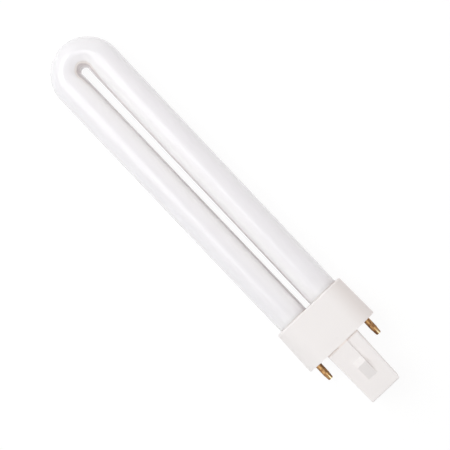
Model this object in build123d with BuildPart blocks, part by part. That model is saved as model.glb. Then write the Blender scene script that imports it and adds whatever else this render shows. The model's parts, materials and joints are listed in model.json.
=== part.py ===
# A single-U ultraviolet tube lamp on a two-pin plug-in base, in millimetres.
# X runs along the lamp: the glass points to -X, the pins and the starter post to +X.
# Y runs from pin to pin. Z is the thin way, and +Z is the side that faces up as it lies.
# The origin is midway between the pins, on the face that seats in the lampholder.
import os
from math import atan, degrees, pi

from build123d import *

os.makedirs("parts", exist_ok=True)

# Glass tube, one length of 12 mm tube bent into a U
limb_diameter = 12.0
limb_spacing_at_base = 14.0
limb_spacing_at_bend = 14.85
glass_length = 127.0
crown_thickness = 10.85
limb_depth_in_base = 4.6
seal_shoulder_length = 2.2
press_seal_length = 3.3
press_seal_width = 9.6
press_seal_thickness = 3.0
exhaust_tip_diameter = 2.4
exhaust_tip_length = 3.0
exhaust_tip_taper = 12.0

# Collar of the base, an oval shell with draft towards the glass
collar_height = 17.0
collar_draft = 0.8
collar_wall = 1.3
collar_crown_wall = 2.0
collar_edge_radius = 0.7
collar_step = 0.4
socket_clearance = 0.35
socket_wall = 0.6
socket_depth = 5.1
cement_recess = 0.3
staking_mark_diameter = 0.5
staking_mark_depth = 0.25
staking_mark_height = 2.5

# Base plate and hollow starter post, one moulding
plate_thickness = 1.8
plate_clearance = 0.05
skirt_height = 3.2
skirt_wall = 0.8
post_length = 22.1
post_width = 13.6
post_thickness = 15.6
post_setback = 0.8
post_draft = 0.9
post_wall = 1.2
post_end_wall = 1.3
post_corner_radius = 0.6
post_end_radius = 0.5

# Latch rib, the same on both broad faces of the post
rib_width = 3.8
rib_rise_start = 7.5
rib_peak = 9.7
rib_fall_end = 15.4
rib_peak_height = 1.2

# Contact pins, hollow and crimped on their lead wires
pin_spacing = 23.0
pin_diameter = 2.35
pin_length = 6.7
pin_bore = 1.0
pin_shank_diameter = 2.7
pin_root_height = 0.2
pin_flange_diameter = 3.0
pin_flange_thickness = 0.6
pin_flange_clearance = 0.05
pin_taper_start = 4.3
pin_tip_diameter = 1.95
pin_tip_chamfer = 0.25
crimp_start = 4.5
crimp_end = 6.1
crimp_flutes = 4
crimp_flute_radius = 0.4
crimp_flute_depth = 0.34

# Lead wires and the sleeves that join them
lead_diameter = 0.5
lead_offset = 2.4
lead_bend = 1.0
lead_run_out_of_glass = 1.4
lead_run_into_pin = 1.2
lead_run_past_crimp = 0.4
lead_run_out_of_starter = 0.8
lead_run_out_of_capacitor = 1.4
lead_run_into_sleeve = 0.6
sleeve_diameter = 1.6
sleeve_length = 2.4
sleeve_grip = 1.1
sleeve_lead_pitch = 0.7
sleeve_place = -1.8

# Glow starter in the post
starter_diameter = 7.2
starter_wall_clearance = 0.3
starter_end_clearance = 1.2
starter_dome_height = 2.2
starter_glass_wall = 0.5
starter_seal_start = 2.4
starter_seal_width = 5.0
starter_seal_thickness = 2.0
starter_neck_end = 4.6
starter_body_start = 6.6
starter_lead_spacing = 2.6
starter_lead_setback = 4.5
electrode_setback = 2.4
bimetal_thickness = 0.25
bimetal_width = 1.6
bimetal_rise = 2.5
bimetal_bend = 1.0
bimetal_return = 3.0

# Suppression capacitor beside the starter
capacitor_start = 4.0
capacitor_length = 10.0
capacitor_width = 9.0
capacitor_thickness = 3.4
capacitor_wall_clearance = 0.6
capacitor_edge_radius = 0.8
capacitor_lead_spacing = 5.0

# Places that follow from the sizes above
plate_margin = skirt_wall + plate_clearance + collar_wall
collar_width = pin_spacing + pin_flange_diameter + 2 * (pin_flange_clearance + plate_margin)
collar_thickness = post_thickness + 2 * post_setback
collar_top = -collar_height
collar_taper = degrees(atan(collar_draft / 2 / collar_height))
post_taper = degrees(atan(post_draft / 2 / post_length))
limb_radius = limb_diameter / 2
limb_y = limb_spacing_at_base / 2
bend_radius = limb_spacing_at_bend / 2
crown_tip = collar_top - glass_length
bend_centre = crown_tip + bend_radius + crown_thickness / 2
limb_end = collar_top + limb_depth_in_base
seal_start = limb_end + seal_shoulder_length
seal_end = seal_start + press_seal_length
socket_radius = limb_radius + socket_clearance
plate_seat = -(plate_thickness + skirt_height)
plate_width = collar_width - 2 * collar_wall
plate_depth = collar_thickness - 2 * collar_wall
sleeve_start = sleeve_place - sleeve_length
sleeve_y = limb_y - lead_offset
post_slope = post_draft / 2 / post_length
post_inner_half = post_thickness / 2 - post_wall
bulb_radius = starter_diameter / 2
starter_end = post_length - post_end_wall - starter_end_clearance
starter_body_end = starter_end - starter_dome_height
starter_wall = post_inner_half - post_slope * (plate_thickness + starter_body_end)
starter_axis_z = -(starter_wall - starter_wall_clearance - bulb_radius)
starter_lead_end = starter_body_end - starter_lead_setback
electrode_end = starter_body_end - electrode_setback
capacitor_end = capacitor_start + capacitor_length
capacitor_wall = post_inner_half - post_slope * (plate_thickness + capacitor_end)
capacitor_z = capacitor_wall - capacitor_wall_clearance - capacitor_thickness / 2


def finish(piece, name):
    # Names a finished piece and writes it out.
    piece.part.label = name
    export_step(piece.part, f"parts/{name}.step")


# Glass tube
# The bend is a swept arc whose section flattens towards the crown.
with BuildPart() as discharge_tube:
    with BuildLine() as bend:
        CenterArc((bend_centre, 0, 0), bend_radius, 90, 180)
    for place, half_thickness in ((0, limb_radius), (0.5, crown_thickness / 2), (1, limb_radius)):
        with BuildSketch(Plane(bend.line @ place, x_dir=(0, 0, 1), z_dir=bend.line % place)):
            Ellipse(limb_radius, half_thickness)
    sweep(path=bend.line, multisection=True)

    # The limbs draw together slightly from the bend to the base.
    for side in (-1, 1):
        with BuildSketch(Plane.YZ.offset(bend_centre)):
            with Locations((side * bend_radius, 0)):
                Circle(limb_radius)
        with BuildSketch(Plane.YZ.offset(collar_top)):
            with Locations((side * limb_y, 0)):
                Circle(limb_radius)
        loft()
        with BuildSketch(Plane.YZ.offset(collar_top)):
            with Locations((side * limb_y, 0)):
                Circle(limb_radius)
        extrude(amount=limb_depth_in_base)

        # Each end is pressed flat on its lead wires.
        with BuildSketch(Plane.YZ.offset(limb_end)):
            with Locations((side * limb_y, 0)):
                Circle(limb_radius)
        with BuildSketch(Plane.YZ.offset(seal_start)):
            with Locations((side * limb_y, 0)):
                Ellipse(press_seal_width / 2, press_seal_thickness / 2)
        loft()
        with BuildSketch(Plane.YZ.offset(limb_end)):
            with Locations((side * limb_y, 0)):
                RectangleRounded(press_seal_width, press_seal_thickness, press_seal_thickness / 3)
        extrude(amount=seal_shoulder_length + press_seal_length)

    # The tube was pumped out through a stem in one end, which was then melted off.
    with BuildSketch(Plane.YZ.offset(seal_end)):
        with Locations((-limb_y, 0)):
            Circle(exhaust_tip_diameter / 2)
    extrude(amount=exhaust_tip_length, taper=exhaust_tip_taper)
finish(discharge_tube, "discharge_tube")

# Collar
with BuildPart() as base_collar:
    with BuildSketch(Plane.YZ):
        SlotOverall(collar_width, collar_thickness)
    extrude(amount=-collar_height, taper=collar_taper)
    fillet(base_collar.faces().sort_by(Axis.X)[0].edges(), radius=collar_edge_radius)

    # The hollow has a step, on which the base plate's skirt seats.
    with BuildSketch(Plane.YZ):
        SlotOverall(plate_width, plate_depth)
    extrude(amount=plate_seat, mode=Mode.SUBTRACT)
    with BuildSketch(Plane.YZ.offset(plate_seat)):
        SlotOverall(plate_width - 2 * collar_step, plate_depth - 2 * collar_step)
    extrude(amount=collar_top + collar_crown_wall - plate_seat, mode=Mode.SUBTRACT)

    # Two round sockets hold the ends of the glass.
    with BuildSketch(Plane.YZ.offset(collar_top + collar_crown_wall / 2)):
        with GridLocations(limb_spacing_at_base, 0, 2, 1):
            Circle(socket_radius + socket_wall)
    extrude(amount=socket_depth - collar_crown_wall / 2)
    with BuildSketch(Plane.YZ.offset(collar_top)):
        with GridLocations(limb_spacing_at_base, 0, 2, 1):
            Circle(socket_radius)
    extrude(amount=socket_depth, mode=Mode.SUBTRACT)

    # A small staked mark on each broad wall locks the collar to the base plate.
    wall_slope = collar_draft / 2 / collar_height
    mark_wall = collar_thickness / 2 - wall_slope * staking_mark_height
    for side in (-1, 1):
        with BuildSketch(Plane.XY.offset(side * mark_wall)):
            with Locations((-staking_mark_height, 0)):
                Circle(staking_mark_diameter / 2)
        extrude(amount=staking_mark_depth, both=True, mode=Mode.SUBTRACT)
finish(base_collar, "base_collar")

# Base plate, starter post and latch ribs
with BuildPart() as starter_housing:
    with BuildSketch(Plane.YZ):
        SlotOverall(plate_width - 2 * plate_clearance, plate_depth - 2 * plate_clearance)
    extrude(amount=plate_seat)
    with BuildSketch(Plane.YZ.offset(-plate_thickness)):
        SlotOverall(
            plate_width - 2 * (plate_clearance + skirt_wall),
            plate_depth - 2 * (plate_clearance + skirt_wall),
        )
    extrude(amount=-skirt_height, mode=Mode.SUBTRACT)

    # The post tapers to its closed end.
    with BuildSketch(Plane.YZ):
        RectangleRounded(post_width, post_thickness, post_corner_radius)
    extrude(amount=post_length, taper=post_taper)
    fillet(starter_housing.faces().sort_by(Axis.X)[-1].edges(), radius=post_end_radius)

    # Each latch rib starts flush with the collar, rises to its peak and falls to the post.
    for flip in (1, -1):
        with BuildSketch(Plane.XZ):
            with BuildLine():
                Polyline(
                    (0, flip * (post_thickness / 2 - post_wall)),
                    (0, flip * collar_thickness / 2),
                    (rib_rise_start, flip * collar_thickness / 2),
                    (rib_peak, flip * (collar_thickness / 2 + rib_peak_height)),
                    (rib_fall_end, flip * (post_thickness / 2 - post_slope * rib_fall_end)),
                    (rib_fall_end, flip * (post_thickness / 2 - post_wall)),
                    close=True,
                )
            make_face()
        extrude(amount=rib_width / 2, both=True)

    # The post is hollow and opens into the collar.
    with BuildSketch(Plane.YZ.offset(-plate_thickness)):
        Rectangle(post_width - 2 * post_wall, post_thickness - 2 * post_wall)
    hollow_length = plate_thickness + post_length - post_end_wall
    extrude(amount=hollow_length, taper=post_taper, mode=Mode.SUBTRACT)

    # Holes for the pins
    with BuildSketch(Plane.YZ):
        with GridLocations(pin_spacing, 0, 2, 1):
            Circle(pin_shank_diameter / 2)
    extrude(amount=-plate_thickness, mode=Mode.SUBTRACT)
finish(starter_housing, "starter_housing")


def contact_pin(side):
    # A hollow brass pin, flanged inside the plate, with a coned root.
    # Its tapered tip is crimped on the lead by flutes.
    with BuildPart() as pin:
        with BuildSketch(Plane.XY):
            with BuildLine():
                Polyline(
                    (-plate_thickness - pin_flange_thickness, pin_bore / 2),
                    (-plate_thickness - pin_flange_thickness, pin_flange_diameter / 2),
                    (-plate_thickness, pin_flange_diameter / 2),
                    (-plate_thickness, pin_shank_diameter / 2),
                    (0, pin_shank_diameter / 2),
                    (pin_root_height, pin_diameter / 2),
                    (pin_taper_start, pin_diameter / 2),
                    (pin_length - pin_tip_chamfer, pin_tip_diameter / 2),
                    (pin_length, pin_tip_diameter / 2 - pin_tip_chamfer),
                    (pin_length, pin_bore / 2),
                    (crimp_end, pin_bore / 2),
                    (crimp_end, lead_diameter / 2),
                    (crimp_start, lead_diameter / 2),
                    (crimp_start, pin_bore / 2),
                    close=True,
                )
            make_face()
        revolve(axis=Axis.X)
        flute_circle = pin_diameter / 2 + crimp_flute_radius - crimp_flute_depth
        with BuildSketch(Plane.YZ.offset(crimp_start)):
            with PolarLocations(flute_circle, crimp_flutes):
                Circle(crimp_flute_radius)
        extrude(amount=pin_length - crimp_start, mode=Mode.SUBTRACT)
    pin.part.position = (0, side * pin_spacing / 2, 0)
    return pin


def cement_ring(side):
    # Cement that fills the socket round the glass, a little below the collar's top.
    with BuildPart() as ring:
        with BuildSketch(Plane.YZ.offset(collar_top + cement_recess)):
            with Locations((side * limb_y, 0)):
                Circle(socket_radius)
                Circle(limb_radius, mode=Mode.SUBTRACT)
        extrude(amount=limb_depth_in_base - cement_recess)
    return ring


def lead_wire(route):
    # A round wire, straight or of straight runs joined by tangent bends.
    bends = [lead_bend] * (len(route) - 2)
    with BuildPart() as wire:
        with BuildLine() as line:
            if bends:
                FilletPolyline(*route, radius=bends)
            else:
                Line(*route)
        path = line.wire()
        with BuildSketch(Plane(path @ 0, z_dir=path % 0)):
            Circle(lead_diameter / 2)
        sweep(path=path)
    share = wire.part.volume / (path.length * pi * lead_diameter**2 / 4)
    print(f"lead of {path.length:.2f} mm, volume over section times length {share:.4f}")
    return wire


def join_sleeve(side):
    # A sleeve crimped over a lead from the tube at one end and two at the other.
    with BuildPart() as sleeve:
        with BuildSketch(Plane.YZ.offset(sleeve_start)):
            with Locations((side * sleeve_y, 0)):
                Circle(sleeve_diameter / 2)
        extrude(amount=sleeve_length)
        with BuildSketch(Plane.YZ.offset(sleeve_start)):
            with Locations((side * sleeve_y, 0)):
                Circle(lead_diameter / 2)
        extrude(amount=sleeve_grip, mode=Mode.SUBTRACT)
        with BuildSketch(Plane.YZ.offset(sleeve_place)):
            with Locations((side * sleeve_y, 0)):
                with GridLocations(0, sleeve_lead_pitch, 1, 2):
                    Circle(lead_diameter / 2)
        extrude(amount=-sleeve_grip, mode=Mode.SUBTRACT)
    return sleeve


def pin_lead_route(side):
    # From the outer side of the press seal, out to the pin and down its bore.
    lead_y = side * (limb_y + lead_offset)
    pin_y = side * pin_spacing / 2
    pin_mouth = -plate_thickness - pin_flange_thickness
    return [
        (seal_end, lead_y, 0),
        (seal_end + lead_run_out_of_glass, lead_y, 0),
        (pin_mouth - lead_run_into_pin, pin_y, 0),
        (crimp_end + lead_run_past_crimp, pin_y, 0),
    ]


def limb_lead_route(side):
    # Straight from the inner side of the press seal to the join with the starter's leads.
    lead_y = side * sleeve_y
    return [(seal_end, lead_y, 0), (sleeve_start + sleeve_grip, lead_y, 0)]


def starter_lead_route(side, inner_end):
    # From inside the starter's glass, out of its seal and up to the join.
    lead_y = side * starter_lead_spacing / 2
    join_y = side * sleeve_y
    join_z = -sleeve_lead_pitch / 2
    return [
        (inner_end, lead_y, starter_axis_z),
        (starter_seal_start - lead_run_out_of_starter, lead_y, starter_axis_z),
        (sleeve_place + lead_run_into_sleeve, join_y, join_z),
        (sleeve_place - sleeve_grip, join_y, join_z),
    ]


def capacitor_lead_route(side):
    # From the capacitor's end up to the join.
    lead_y = side * capacitor_lead_spacing / 2
    join_y = side * sleeve_y
    join_z = sleeve_lead_pitch / 2
    return [
        (capacitor_start, lead_y, capacitor_z),
        (capacitor_start - lead_run_out_of_capacitor, lead_y, capacitor_z),
        (sleeve_place + lead_run_into_sleeve, join_y, join_z),
        (sleeve_place - sleeve_grip, join_y, join_z),
    ]


for side, hand in ((-1, "left"), (1, "right")):
    finish(contact_pin(side), f"contact_pin_{hand}")
    finish(cement_ring(side), f"socket_cement_{hand}")
    finish(lead_wire(pin_lead_route(side)), f"pin_lead_{hand}")
    finish(lead_wire(limb_lead_route(side)), f"limb_lead_{hand}")
    finish(join_sleeve(side), f"crimp_sleeve_{hand}")
    inner_end = starter_lead_end if side < 0 else electrode_end
    finish(lead_wire(starter_lead_route(side, inner_end)), f"starter_lead_{hand}")
    finish(lead_wire(capacitor_lead_route(side)), f"capacitor_lead_{hand}")

# Glow starter's glass bulb, hollow, with a domed end and a pressed end
starter_plane = Plane((0, 0, starter_axis_z))
starter_axis = Axis((0, 0, starter_axis_z), (1, 0, 0))
void_radius = bulb_radius - starter_glass_wall
void_start = starter_body_start + starter_glass_wall
void_end = starter_end - starter_glass_wall
void_dome_height = starter_dome_height - starter_glass_wall
with BuildPart() as starter_bulb:
    with BuildSketch(starter_plane):
        with BuildLine():
            Polyline(
                (starter_end, 0),
                (starter_neck_end, 0),
                (starter_neck_end, starter_seal_thickness / 2),
                (starter_body_start, bulb_radius),
                (starter_body_end, bulb_radius),
            )
            EllipticalCenterArc(
                (starter_body_end, 0), starter_dome_height, bulb_radius, start_angle=0, arc_size=90
            )
        make_face()
    revolve(axis=starter_axis)
    with BuildSketch(Plane.YZ.offset(starter_seal_start)):
        with Locations((0, starter_axis_z)):
            RectangleRounded(starter_seal_width, starter_seal_thickness, starter_seal_thickness / 3)
    extrude(amount=starter_body_start - starter_seal_start)
    with BuildSketch(starter_plane):
        with BuildLine():
            Polyline(
                (void_end, 0),
                (void_start, 0),
                (void_start, void_radius),
                (starter_body_end, void_radius),
            )
            EllipticalCenterArc(
                (starter_body_end, 0), void_dome_height, void_radius, start_angle=0, arc_size=90
            )
        make_face()
    revolve(axis=starter_axis, mode=Mode.SUBTRACT)
    with BuildSketch(Plane.YZ.offset(starter_seal_start)):
        with Locations((0, starter_axis_z)):
            with GridLocations(starter_lead_spacing, 0, 2, 1):
                Circle(lead_diameter / 2)
    extrude(amount=void_start - starter_seal_start, mode=Mode.SUBTRACT)
finish(starter_bulb, "starter_bulb")

# Bimetal strip, a hook on one lead that bends over towards the other
with BuildPart() as starter_bimetal:
    strip_y = -starter_lead_spacing / 2
    hook_top = starter_lead_end + bimetal_rise
    return_y = strip_y + 2 * bimetal_bend
    with BuildLine() as hook:
        Line((starter_lead_end, strip_y, starter_axis_z), (hook_top, strip_y, starter_axis_z))
        CenterArc((hook_top, strip_y + bimetal_bend, starter_axis_z), bimetal_bend, -90, 180)
        Line(
            (hook_top, return_y, starter_axis_z),
            (hook_top - bimetal_return, return_y, starter_axis_z),
        )
    with BuildSketch(Plane((starter_lead_end, strip_y, starter_axis_z), x_dir=(0, 1, 0), z_dir=(1, 0, 0))):
        Rectangle(bimetal_thickness, bimetal_width)
    sweep(path=hook.line)
finish(starter_bimetal, "starter_bimetal")

# Capacitor body
with BuildPart() as starter_capacitor:
    with BuildSketch(Plane.YZ.offset(capacitor_start)):
        with Locations((0, capacitor_z)):
            RectangleRounded(capacitor_width, capacitor_thickness, capacitor_edge_radius)
    extrude(amount=capacitor_length)
finish(starter_capacitor, "starter_capacitor")
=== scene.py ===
# Looks of a single-U ultraviolet tube lamp: glass and coating, moulded base, brass pins.
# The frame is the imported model's: X along the lamp, Y from pin to pin, Z up, in metres.
import json
from math import pi

import bpy
from mathutils import Matrix, Vector


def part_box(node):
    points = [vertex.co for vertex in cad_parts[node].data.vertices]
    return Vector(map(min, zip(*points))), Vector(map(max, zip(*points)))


MM = 0.001
WHITE = (1.0, 1.0, 1.0)

# Where the mix node has its sockets for colours
MIX_FACTOR = 0
MIX_COLOUR_A = 6
MIX_COLOUR_B = 7
MIX_COLOUR_RESULT = 2

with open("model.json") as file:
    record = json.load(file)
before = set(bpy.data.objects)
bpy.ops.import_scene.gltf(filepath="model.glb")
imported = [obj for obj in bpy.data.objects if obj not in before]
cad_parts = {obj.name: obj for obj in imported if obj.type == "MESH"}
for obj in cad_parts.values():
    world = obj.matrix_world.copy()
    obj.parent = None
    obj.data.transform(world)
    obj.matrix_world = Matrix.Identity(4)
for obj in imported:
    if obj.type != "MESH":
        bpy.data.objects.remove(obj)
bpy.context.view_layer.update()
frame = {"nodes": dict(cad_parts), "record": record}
nodes = frame["nodes"]

# Sizes of the lamp, in millimetres
LIMB_RADIUS = 6.0
LIMB_Y_AT_BASE = 7.0
BEND_RADIUS = 7.425
CROWN_HALF = 5.425
RIB_PEAK_X = 9.7
PIN_SPACING = 23.0

tube_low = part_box("discharge_tube")[0]
collar_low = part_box("base_collar")[0]
housing_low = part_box("starter_housing")[0]
CROWN_TIP = tube_low.x / MM
COLLAR_TOP = collar_low.x / MM
BEND_CENTRE = CROWN_TIP + BEND_RADIUS + CROWN_HALF
BEND_TO_BASE = COLLAR_TOP - BEND_CENTRE


# Small helpers
def feed(tree, socket, value):
    """Links an output socket to an input socket, or sets the input to a constant."""
    if isinstance(value, bpy.types.NodeSocket):
        tree.links.new(value, socket)
    elif socket.type == "RGBA":
        socket.default_value = (*value, 1.0)
    else:
        socket.default_value = value


def add_node(tree, kind, inputs=None, **settings):
    """Adds a shader node. An input is a constant, or an output socket to link."""
    made = tree.nodes.new(kind)
    for key, value in settings.items():
        setattr(made, key, value)
    for key, value in (inputs or {}).items():
        feed(tree, made.inputs[key], value)
    return made


def new_material(name):
    material = bpy.data.materials.new(name)
    material.use_nodes = True
    tree = material.node_tree
    tree.nodes.clear()
    return material, tree


def finish_material(tree, shader):
    add_node(tree, "ShaderNodeOutputMaterial", {"Surface": shader})


def finish_principled(tree, inputs):
    finish_material(tree, add_node(tree, "ShaderNodeBsdfPrincipled", inputs).outputs["BSDF"])


def object_coords(tree):
    return add_node(tree, "ShaderNodeTexCoord").outputs["Object"]


def places_in_mm(tree, coords):
    """How far a point lies along X and along Y, in millimetres."""
    scaled = add_node(
        tree, "ShaderNodeVectorMath", {0: coords, "Scale": 1 / MM}, operation="SCALE"
    ).outputs["Vector"]
    split = add_node(tree, "ShaderNodeSeparateXYZ", {"Vector": scaled}).outputs
    return split["X"], split["Y"]


def noise(tree, coords, scale, detail=3.0, roughness=0.5):
    """Noise around 0.5. Its scale is in cells to one unit of the coordinates."""
    made = add_node(
        tree,
        "ShaderNodeTexNoise",
        {"Vector": coords, "Scale": scale, "Detail": detail, "Roughness": roughness},
    )
    return made.outputs["Fac"]


def ramp(tree, fac, stops):
    """A colour ramp through (place, colour) stops."""
    made = add_node(tree, "ShaderNodeValToRGB", {"Fac": fac})
    band = made.color_ramp
    for _ in range(len(stops) - 2):
        band.elements.new(0.5)
    for element, (place, colour) in zip(band.elements, stops):
        element.position = place
        element.color = (*colour, 1.0)
    return made.outputs["Color"]


def remap(tree, value, from_low, from_high, to_low=0.0, to_high=1.0, smoothly=False):
    """Takes one range to another and holds its ends."""
    made = add_node(
        tree,
        "ShaderNodeMapRange",
        {
            "Value": value,
            "From Min": from_low,
            "From Max": from_high,
            "To Min": to_low,
            "To Max": to_high,
        },
        interpolation_type="SMOOTHSTEP" if smoothly else "LINEAR",
    )
    return made.outputs["Result"]


def math_node(tree, operation, *values):
    inputs = dict(enumerate(values))
    return add_node(tree, "ShaderNodeMath", inputs, operation=operation).outputs["Value"]


def mix_colour(tree, fac, a, b):
    made = add_node(tree, "ShaderNodeMix", data_type="RGBA")
    feed(tree, made.inputs[MIX_FACTOR], fac)
    feed(tree, made.inputs[MIX_COLOUR_A], a)
    feed(tree, made.inputs[MIX_COLOUR_B], b)
    return made.outputs[MIX_COLOUR_RESULT]


def tinted(tree, tone, where, share, tint):
    """Mixes that share of the tint into a tone, where a mask is 1."""
    return mix_colour(tree, math_node(tree, "MULTIPLY", where, share), tone, tint)


def bump(tree, height, strength, distance):
    made = add_node(
        tree,
        "ShaderNodeBump",
        {"Height": height, "Strength": strength, "Distance": distance},
    )
    return made.outputs["Normal"]


def seen_directly(tree):
    """1 for what the camera sees, also in a mirror or through glass, and 0 for other rays."""
    path = add_node(tree, "ShaderNodeLightPath").outputs
    seen = math_node(tree, "MAXIMUM", path["Is Camera Ray"], path["Is Transmission Ray"])
    return math_node(tree, "MAXIMUM", seen, path["Is Glossy Ray"])


# Coated tube, with widths and lengths in millimetres
# A brown-grey line of painted shade marks where the limbs face each other across the narrow
# gap.
# It widens to a band of fine arcs at the crown, where the wall is thick clear glass: painted
# refraction.
LINE_WIDTH = 0.66
LINE_WIDTH_AT_BEND = 2.15
LINE_WIDTH_AT_CROWN = 2.05
RIGHT_LINE_SHARE = 0.95
LINE_HALVING_LENGTH = 3.5
LINE_WAVER = 0.07
WAVER_RANGE = (0.3, 0.7)
LINE_EDGE = (0.8, 1.15)
SIDE_BLEND = 2.0

# Tones across the line, from the tube's inner edge to the coating, in widths of the line
LIMB_LINE_TONES = (
    (0.0, (0.74, 0.72, 0.73)),
    (0.25, (0.60, 0.56, 0.57)),
    (0.6, (0.82, 0.78, 0.78)),
    (1.0, (0.95, 0.93, 0.94)),
)
ARC_TONES = (
    (0.0, (0.94, 0.93, 0.93)),
    (0.07, (0.70, 0.67, 0.67)),
    (0.14, (0.93, 0.91, 0.91)),
    (0.24, (0.70, 0.66, 0.66)),
    (0.32, (0.80, 0.76, 0.76)),
    (0.42, (0.64, 0.60, 0.60)),
    (0.56, (0.66, 0.62, 0.615)),
    (0.66, (0.90, 0.855, 0.815)),
    (0.74, (0.93, 0.885, 0.85)),
    (0.82, (0.78, 0.74, 0.725)),
    (0.90, (0.88, 0.845, 0.83)),
    (1.0, (0.90, 0.88, 0.88)),
)
ARC_RANGE = (0.2, 0.9)
# Painted shade, deeper towards the base and on the +Y limb
DEEP_SHADE_TONE = (0.38, 0.33, 0.34)
DEEPER_AT_BASE = 0.35
DEEPER_ON_RIGHT = 0.3
STREAK_TONE = (0.95, 0.92, 0.92)
STREAK_RANGE = (0.35, 0.65)
STREAK_SHARE = 0.35
STREAKS_ACROSS = 7.0
STREAKS_ROUND_BEND = 2.0
STREAKS_ALONG_LIMB = 0.12

# Painted shade along the outer side, for the edge of the clear glass wall
OUTER_LINE_WIDTH = 0.3
OUTER_EDGE_SHADE_TONE = (0.70, 0.67, 0.68)
# Painted light and shade: the powder is lighter on the inner side of the U and darker on the
# outer sides
OUTSIDE_TONES = ((0.84, 0.83, 0.855), (0.855, 0.845, 0.865))
INSIDE_TONES = ((0.985, 0.96, 0.98), (0.99, 0.97, 0.985))
INSIDE_RANGE = (1.0, 4.8)

# Painted light beside the base, and painted shade on each limb's +Y side there
END_LENGTH = 7.0
END_SHARE = 0.75
END_TONE = (0.97, 0.96, 0.975)
PATCH_SHARE = 0.45
PATCH_SHADE_TONE = (0.60, 0.54, 0.56)
RIM_LENGTH = 0.5
RIM_SHARE = 0.2
RIM_TONE = (0.80, 0.62, 0.48)


def tube_places(tree, coords):
    """Where a point lies on the U, in millimetres.

    inward is how far it lies from the middle of the tube's section towards the inside of the
    U, and half is how far the section reaches. turn is 0 on the limbs and 1 at the crown, and
    near_bend is 1 in the bend and halves again and again along the limb.
    """
    x, y = places_in_mm(tree, coords)
    past_bend = math_node(tree, "SUBTRACT", x, BEND_CENTRE)
    in_bend = math_node(tree, "MINIMUM", past_bend, 0.0)
    on_limb = math_node(tree, "MAXIMUM", past_bend, 0.0)
    squares = math_node(
        tree,
        "ADD",
        math_node(tree, "MULTIPLY", in_bend, in_bend),
        math_node(tree, "MULTIPLY", y, y),
    )
    radius = math_node(tree, "SQRT", squares)
    middle = remap(tree, x, BEND_CENTRE, COLLAR_TOP, BEND_RADIUS, LIMB_Y_AT_BASE)
    turn = math_node(tree, "DIVIDE", math_node(tree, "MULTIPLY", in_bend, -1.0), radius)
    turn_squared = math_node(tree, "MULTIPLY", turn, turn)
    halvings = math_node(tree, "MULTIPLY", on_limb, 1 / LINE_HALVING_LENGTH)
    return {
        "x": x,
        "y": y,
        "on_limb": on_limb,
        "near_bend": math_node(tree, "POWER", 0.5, halvings),
        "turn": turn,
        "turn_squared": turn_squared,
        "half": remap(tree, turn_squared, 0.0, 1.0, LIMB_RADIUS, CROWN_HALF),
        "inward": math_node(tree, "SUBTRACT", middle, radius),
    }


def line_width(tree, at):
    right_width = LINE_WIDTH * RIGHT_LINE_SHARE
    far_width = remap(tree, at["y"], -SIDE_BLEND, SIDE_BLEND, LINE_WIDTH, right_width)
    limb_width = remap(tree, at["near_bend"], 0.0, 1.0, far_width, LINE_WIDTH_AT_BEND)
    widening = LINE_WIDTH_AT_CROWN - LINE_WIDTH_AT_BEND
    return math_node(tree, "MULTIPLY_ADD", at["turn_squared"], widening, limb_width)


def across_line(tree, coords, at):
    """How far a point lies across the line, in its widths, with a slight waver."""
    from_edge = math_node(tree, "SUBTRACT", at["half"], at["inward"])
    across = math_node(tree, "DIVIDE", from_edge, line_width(tree, at))
    waver = noise(tree, coords, scale=420.0, detail=2.0)
    shift = remap(tree, waver, *WAVER_RANGE, -LINE_WAVER, LINE_WAVER)
    return math_node(tree, "ADD", across, shift)


def line_tones(tree, at, across):
    """Painted shade in greys on the limbs, deepest at the base and on the +Y limb, and painted
    refraction arcs at the crown.
    """
    to_base = remap(tree, at["on_limb"], 0.0, BEND_TO_BASE, 0.0, DEEPER_AT_BASE)
    on_right = remap(tree, at["y"], -SIDE_BLEND, SIDE_BLEND, 0.0, DEEPER_ON_RIGHT)
    deeper = math_node(tree, "ADD", to_base, on_right)
    greys = mix_colour(tree, deeper, ramp(tree, across, LIMB_LINE_TONES), DEEP_SHADE_TONE)
    arcs = ramp(tree, across, ARC_TONES)
    tones = mix_colour(tree, remap(tree, at["near_bend"], *ARC_RANGE), greys, arcs)

    # Fine uneven streaks run along the line and round the bend.
    stretched = add_node(
        tree,
        "ShaderNodeCombineXYZ",
        {
            "X": math_node(tree, "MULTIPLY", across, STREAKS_ACROSS),
            "Y": math_node(tree, "MULTIPLY", at["turn"], STREAKS_ROUND_BEND),
            "Z": math_node(tree, "MULTIPLY", at["on_limb"], STREAKS_ALONG_LIMB),
        },
    ).outputs["Vector"]
    fine = noise(tree, stretched, scale=1.0, detail=3.0, roughness=0.6)
    streaks = remap(tree, fine, *STREAK_RANGE, 0.0, STREAK_SHARE)
    return mix_colour(tree, streaks, tones, STREAK_TONE)


def coating_tone(tree, coords, at):
    """White powder, painted lighter on the inner side of the U and darker on the outer sides:
    painted light and shade.
    """
    cloud = noise(tree, coords, scale=90.0, detail=3.0)
    outside = mix_colour(tree, cloud, *OUTSIDE_TONES)
    inside = mix_colour(tree, cloud, *INSIDE_TONES)
    return mix_colour(tree, remap(tree, at["inward"], *INSIDE_RANGE), outside, inside)


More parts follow.
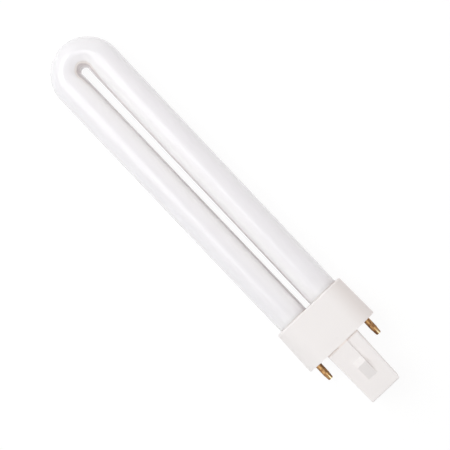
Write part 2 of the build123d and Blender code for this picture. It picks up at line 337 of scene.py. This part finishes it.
def with_ends(tree, at, tone):
    """Paints light on the glass beside the base, lifting the collar's shade, and a patch of
    painted shade on each limb's +Y side there.
    """
    at_base = remap(tree, at["x"], COLLAR_TOP - END_LENGTH, COLLAR_TOP)
    by_collar = math_node(tree, "MULTIPLY", at_base, at_base)
    tone = tinted(tree, tone, by_collar, END_SHARE, END_TONE)
    limb_side = math_node(tree, "SIGN", at["y"])
    limb_y = math_node(tree, "MULTIPLY", limb_side, LIMB_Y_AT_BASE)
    across_limb = math_node(tree, "SUBTRACT", at["y"], limb_y)
    to_side = remap(tree, across_limb, 0.0, LIMB_RADIUS, smoothly=True)
    patch = math_node(tree, "MULTIPLY", by_collar, to_side)
    tone = tinted(tree, tone, patch, PATCH_SHARE, PATCH_SHADE_TONE)

    # A faint brown rim is painted on the glass where it enters the base.
    rim = remap(tree, at["x"], COLLAR_TOP - RIM_LENGTH, COLLAR_TOP - RIM_LENGTH / 2)
    return tinted(tree, tone, rim, RIM_SHARE, RIM_TONE)


def coated_tube():
    """Glossy clear glass over a white powder coating, both in one surface."""
    material, tree = new_material("coated_tube")
    coords = object_coords(tree)
    at = tube_places(tree, coords)
    across = across_line(tree, coords, at)
    line = remap(tree, across, *LINE_EDGE, 1.0, 0.0, smoothly=True)
    tone = mix_colour(tree, line, coating_tone(tree, coords, at), line_tones(tree, at, across))

    # A thin grey line of painted shade runs along the outer side, for the edge of the clear
    # glass wall.
    from_outside = math_node(tree, "ADD", at["half"], at["inward"])
    outer = remap(tree, from_outside, 0.0, OUTER_LINE_WIDTH, 1.0, 0.0, smoothly=True)
    tone = mix_colour(tree, outer, tone, OUTER_EDGE_SHADE_TONE)
    smears = noise(tree, coords, scale=220.0, detail=4.0, roughness=0.6)
    finish_principled(
        tree,
        {
            "Base Color": with_ends(tree, at, tone),
            "Roughness": 0.6,
            "Subsurface Weight": 0.8,
            "Subsurface Radius": (1.0, 1.0, 1.0),
            "Subsurface Scale": 9.0 * MM,
            "Coat Weight": 1.0,
            "Coat Roughness": 0.04,
            "Coat IOR": 1.5,
            "Specular IOR Level": 0.2,
            "Normal": bump(tree, smears, strength=0.02, distance=0.1 * MM),
        },
    )
    return material


# Moulded plastic, with places in millimetres
PLASTIC_TONES = ((0.907, 0.873, 0.862), (0.927, 0.897, 0.886))
# Painted shade towards the +Y end
PLASTIC_END_SHADE_TONE = (0.875, 0.822, 0.80)
PLASTIC_END_Y = (7.0, 15.0)
PLASTIC_ROUGHNESS = (0.55, 0.7)
SMUDGE_RANGE = (0.35, 0.75)
# Warm painted shade in the crevice round the post's root
CREVICE_SHADE_TONE = (0.90, 0.82, 0.775)
CREVICE_START_X = 0.02
CREVICE_FADE_X = (0.3, 0.9)


def moulded_plastic():
    """Off-white plastic, with painted shade towards its +Y end and warm painted shade round the
    post's root.
    """
    material, tree = new_material("moulded_plastic")
    coords = object_coords(tree)
    x, y = places_in_mm(tree, coords)
    grain = noise(tree, coords, scale=2600.0, detail=3.0, roughness=0.6)
    cloud = noise(tree, coords, scale=55.0, detail=4.0, roughness=0.55)
    smudge = noise(tree, coords, scale=160.0, detail=5.0, roughness=0.65)
    tone = mix_colour(tree, cloud, *PLASTIC_TONES)
    to_end = remap(tree, y, *PLASTIC_END_Y, smoothly=True)
    tone = mix_colour(tree, to_end, tone, PLASTIC_END_SHADE_TONE)
    # Warm painted shade where the post meets the seating face
    by_post_root = remap(tree, x, *CREVICE_FADE_X, 1.0, 0.0)
    past_seat = math_node(tree, "GREATER_THAN", x, CREVICE_START_X)
    crevice_shade = math_node(tree, "MULTIPLY", by_post_root, past_seat)
    finish_principled(
        tree,
        {
            "Base Color": mix_colour(tree, crevice_shade, tone, CREVICE_SHADE_TONE),
            "Roughness": remap(tree, smudge, *SMUDGE_RANGE, *PLASTIC_ROUGHNESS),
            "Normal": bump(tree, grain, strength=0.12, distance=0.03 * MM),
        },
    )
    return material


# Brass, with places and depths in millimetres
# Drawing stretched the streaks along the pins.
DRAWN_SCALE = (0.28, 1.0, 1.0)
DRAWN_DEPTH = 0.035
DRAWN_PART = 0.7
CLOUD_PART = 0.3
BRASS_TONES = (
    (0.42, (0.17, 0.075, 0.035)),
    (0.5, (0.31, 0.16, 0.07)),
    (0.58, (0.46, 0.27, 0.12)),
)
BRASS_RANGE = (0.4, 0.6)
BRASS_ROUGHNESS = (0.42, 0.26)
# Painted highlights: bright stripes along the pins, brightest beside the crimp at the tip
PAINTED_HIGHLIGHT_ROUGHNESS = 0.15
PAINTED_HIGHLIGHT_CORE = 0.08
PAINTED_HIGHLIGHT_HALF_WIDTH = 0.36
PAINTED_HIGHLIGHT_FADE = 0.6
# Painted highlight stripes: across the pin, start and end along it, colour
PAINTED_HIGHLIGHT_STRIPES = (
    (-0.1, -0.4, 1.6, (0.66, 0.40, 0.16)),
    (-0.5, 2.4, 3.4, (0.60, 0.36, 0.15)),
    (0.22, 3.8, 5.0, (0.82, 0.54, 0.25)),
    (0.22, 4.9, 6.8, (1.0, 0.90, 0.58)),
)


def painted_highlight_stripe(tree, across, along, middle, start, end):
    """1 on a painted highlight stripe along the pin, which fades at its sides and ends."""
    offset = math_node(tree, "ABSOLUTE", math_node(tree, "SUBTRACT", across, middle))
    stripe = remap(tree, offset, PAINTED_HIGHLIGHT_CORE, PAINTED_HIGHLIGHT_HALF_WIDTH, 1.0, 0.0, smoothly=True)
    begun = remap(tree, along, start, start + PAINTED_HIGHLIGHT_FADE)
    ended = remap(tree, along, end, end + PAINTED_HIGHLIGHT_FADE, 1.0, 0.0)
    return math_node(tree, "MULTIPLY", stripe, math_node(tree, "MULTIPLY", begun, ended))


def tarnished_brass():
    """Dull rolled brass with drawn streaks and painted highlight stripes, brightest beside the
    crimp at its tip.
    """
    material, tree = new_material("tarnished_brass")
    coords = object_coords(tree)
    drawn = add_node(
        tree, "ShaderNodeMapping", {"Vector": coords, "Scale": DRAWN_SCALE}
    ).outputs["Vector"]
    streaks = noise(tree, drawn, scale=2300.0, detail=3.0, roughness=0.6)
    cloud = noise(tree, coords, scale=500.0, detail=4.0, roughness=0.6)
    brightness = math_node(
        tree,
        "ADD",
        math_node(tree, "MULTIPLY", streaks, DRAWN_PART),
        math_node(tree, "MULTIPLY", cloud, CLOUD_PART),
    )
    tone = ramp(tree, brightness, BRASS_TONES)

    along, side = places_in_mm(tree, coords)
    pin_y = math_node(tree, "MULTIPLY", math_node(tree, "SIGN", side), PIN_SPACING / 2)
    across = math_node(tree, "SUBTRACT", side, pin_y)
    # Painted highlights, mixed into the brass as bright stripes
    painted_highlight = 0.0
    for middle, start, end, painted_highlight_tone in PAINTED_HIGHLIGHT_STRIPES:
        stripe = painted_highlight_stripe(tree, across, along, middle, start, end)
        painted_highlight = math_node(tree, "MAXIMUM", painted_highlight, stripe)
        tone = mix_colour(tree, stripe, tone, painted_highlight_tone)

    roughness = math_node(
        tree,
        "ADD",
        remap(tree, brightness, *BRASS_RANGE, *BRASS_ROUGHNESS),
        math_node(tree, "MULTIPLY", painted_highlight, PAINTED_HIGHLIGHT_ROUGHNESS),
    )
    height = math_node(tree, "MULTIPLY", streaks, DRAWN_DEPTH)
    finish_principled(
        tree,
        {
            "Base Color": tone,
            "Metallic": 1.0,
            "Roughness": roughness,
            "Normal": bump(tree, height, strength=1.0, distance=MM),
        },
    )
    return material


# Pieces inside the base
CEMENT_TONES = ((0.36, 0.28, 0.22), (0.64, 0.55, 0.47))
WIRE_TONES = ((0.42, 0.40, 0.37), (0.66, 0.64, 0.60))
WIRE_RANGE = (0.3, 0.7)
WIRE_ROUGHNESS = (0.45, 0.3)
STARTER_TONE = (0.95, 0.98, 0.97)
STARTER_RANGE = (0.4, 0.8)
STARTER_ROUGHNESS = (0.02, 0.08)
RESIN_TONES = ((0.30, 0.055, 0.025), (0.46, 0.10, 0.04))


def capping_cement():
    material, tree = new_material("capping_cement")
    grit = noise(tree, object_coords(tree), scale=2400.0, detail=5.0, roughness=0.7)
    finish_principled(
        tree,
        {
            "Base Color": mix_colour(tree, grit, *CEMENT_TONES),
            "Roughness": 0.95,
            "Normal": bump(tree, grit, strength=0.6, distance=0.1 * MM),
        },
    )
    return material


def nickel_wire():
    material, tree = new_material("nickel_wire")
    coords = object_coords(tree)
    cloud = noise(tree, coords, scale=700.0)
    grain = noise(tree, coords, scale=5000.0)
    finish_principled(
        tree,
        {
            "Base Color": mix_colour(tree, cloud, *WIRE_TONES),
            "Metallic": 1.0,
            "Roughness": remap(tree, cloud, *WIRE_RANGE, *WIRE_ROUGHNESS),
            "Normal": bump(tree, grain, strength=0.15, distance=0.03 * MM),
        },
    )
    return material


def starter_glass():
    material, tree = new_material("starter_glass")
    coords = object_coords(tree)
    haze = noise(tree, coords, scale=300.0)
    waves = noise(tree, coords, scale=120.0)
    finish_principled(
        tree,
        {
            "Base Color": STARTER_TONE,
            "Roughness": remap(tree, haze, *STARTER_RANGE, *STARTER_ROUGHNESS),
            "IOR": 1.5,
            "Transmission Weight": 1.0,
            "Normal": bump(tree, waves, strength=0.1, distance=0.3 * MM),
        },
    )
    return material


def dipped_resin():
    material, tree = new_material("dipped_resin")
    coords = object_coords(tree)
    cloud = noise(tree, coords, scale=260.0)
    dimples = noise(tree, coords, scale=500.0)
    finish_principled(
        tree,
        {
            "Base Color": mix_colour(tree, cloud, *RESIN_TONES),
            "Roughness": 0.25,
            "Coat Weight": 0.4,
            "Normal": bump(tree, dimples, strength=0.25, distance=0.2 * MM),
        },
    )
    return material


def dress_pieces():
    """Gives each piece the material of its slot."""
    slot_materials = {
        "coated_glass": coated_tube(),
        "white_plastic": moulded_plastic(),
        "pin_brass": tarnished_brass(),
        "cement": capping_cement(),
        "lead_wire": nickel_wire(),
        "clear_glass": starter_glass(),
        "capacitor_case": dipped_resin(),
    }
    for subpart in frame["record"]["subparts"]:
        mesh = nodes[subpart["node"]].data
        mesh.materials.clear()
        mesh.materials.append(slot_materials[subpart["material_slot"]])


# Floor, in metres
# The lamp rests on the lower latch rib and on the underside of the bend.
rib_rest = Vector((RIB_PEAK_X * MM, 0, housing_low.z))
bend_rest = Vector(((BEND_CENTRE - BEND_RADIUS) * MM, 0, tube_low.z))
floor_tilt = (rib_rest.z - bend_rest.z) / (rib_rest.x - bend_rest.x)
FLOOR_SIZE = 6.0
FLOOR_GREY = 0.5
FLOOR_GLOW = 0.5
SEEN_FLOOR_GREY = 0.14
SEEN_FLOOR_LEVEL = 1.02


def glowing_grey(tree, grey, glow):
    """A matt surface of that grey, which also gives off that much white light."""
    matt = add_node(tree, "ShaderNodeBsdfDiffuse", {"Color": (grey, grey, grey)})
    light = add_node(tree, "ShaderNodeEmission", {"Color": WHITE, "Strength": glow})
    both = {0: matt.outputs["BSDF"], 1: light.outputs["Emission"]}
    return add_node(tree, "ShaderNodeAddShader", both).outputs["Shader"]


def floor_material():
    """White with a faint shadow where it is seen, and greyer where it only lights the lamp."""
    material, tree = new_material("plain_floor")
    choice = {
        0: seen_directly(tree),
        1: glowing_grey(tree, FLOOR_GREY, FLOOR_GLOW),
        2: glowing_grey(tree, SEEN_FLOOR_GREY, SEEN_FLOOR_LEVEL - SEEN_FLOOR_GREY),
    }
    finish_material(tree, add_node(tree, "ShaderNodeMixShader", choice).outputs["Shader"])
    return material


def build_floor():
    half = FLOOR_SIZE / 2
    corners = []
    for x, y in ((-half, -half), (half, -half), (half, half), (-half, half)):
        z = bend_rest.z + floor_tilt * (x - bend_rest.x)
        corners.append((x, y, z))
    mesh = bpy.data.meshes.new("floor")
    mesh.from_pydata(corners, [], [(0, 1, 2, 3)])
    mesh.materials.append(floor_material())
    floor = bpy.data.objects.new("floor", mesh)
    bpy.context.scene.collection.objects.link(floor)


# Light, in metres
LAMP_MIDDLE = Vector((-0.07, 0.0, 0.0))
# Name, place, width and length of the face, and its radiance, where 1 is white
SOFTBOXES = (
    ("key_softbox", (-0.37, -0.22, 0.66), 0.5, 0.6, 1.53),
    ("fill_softbox", (-0.28, -0.22, 0.68), 0.6, 0.6, 1.1),
    ("strip_softbox", (-0.10, -0.56, 0.60), 1.2, 0.05, 2.2),
    ("end_softbox", (-0.75, -0.05, 0.50), 0.5, 0.35, 0.7),
)


def build_softbox(name, place, width, length, radiance):
    """A rectangular light that faces the middle of the lamp."""
    data = bpy.data.lights.new(name, "AREA")
    data.shape = "RECTANGLE"
    data.size = width
    data.size_y = length
    data.energy = radiance * pi * width * length
    made = bpy.data.objects.new(name, data)
    bpy.context.scene.collection.objects.link(made)
    made.location = place
    made.rotation_mode = "QUATERNION"
    made.rotation_quaternion = (Vector(place) - LAMP_MIDDLE).to_track_quat("Z", "Y")


# Room
# The room is pale, brighter towards +Y and a little warmer there. Where it is seen it is white.
WARM_SIDE = (1.0, 0.94, 0.92)
WARM_FROM = 0.2
ROOM_LEVELS = (0.36, 0.71)


def build_room():
    world = bpy.data.worlds.new("studio")
    world.use_nodes = True
    tree = world.node_tree
    tree.nodes.clear()
    seen = seen_directly(tree)
    direction = add_node(tree, "ShaderNodeTexCoord").outputs["Generated"]
    sideways = add_node(tree, "ShaderNodeSeparateXYZ", {"Vector": direction}).outputs["Y"]
    unseen_level = remap(tree, sideways, -1.0, 1.0, *ROOM_LEVELS)
    unseen_tint = mix_colour(tree, remap(tree, sideways, WARM_FROM, 1.0), WHITE, WARM_SIDE)
    background = add_node(
        tree,
        "ShaderNodeBackground",
        {
            "Color": mix_colour(tree, seen, unseen_tint, WHITE),
            "Strength": math_node(tree, "MAXIMUM", unseen_level, seen),
        },
    )
    add_node(tree, "ShaderNodeOutputWorld", {"Surface": background.outputs["Background"]})
    bpy.context.scene.world = world


# Camera, with its places and clipping in metres and its lens in millimetres
CAMERA_PLACE = Vector((-23.473, 17.565, 507.308)) * MM
CAMERA_AIM = Vector((-57.88, -1.524, 0.0)) * MM
PICTURE_UP = Vector((-0.72442, 0.68896, 0.02321))
LENS = 115.59
SENSOR = 36.0
CLIP_START = 0.01
CLIP_END = 20.0


def build_camera():
    data = bpy.data.cameras.new("camera")
    data.lens = LENS
    data.sensor_fit = "HORIZONTAL"
    data.sensor_width = SENSOR
    data.clip_start = CLIP_START
    data.clip_end = CLIP_END
    camera = bpy.data.objects.new("camera", data)
    bpy.context.scene.collection.objects.link(camera)
    back = (CAMERA_PLACE - CAMERA_AIM).normalized()
    right = PICTURE_UP.cross(back).normalized()
    up = back.cross(right)
    turn = Matrix((right, up, back)).transposed().to_4x4()
    camera.matrix_world = Matrix.Translation(CAMERA_PLACE) @ turn
    bpy.context.scene.camera = camera


# The scene
dress_pieces()
build_floor()
for softbox in SOFTBOXES:
    build_softbox(*softbox)
build_room()
build_camera()
bpy.context.scene.view_settings.view_transform = "Standard"
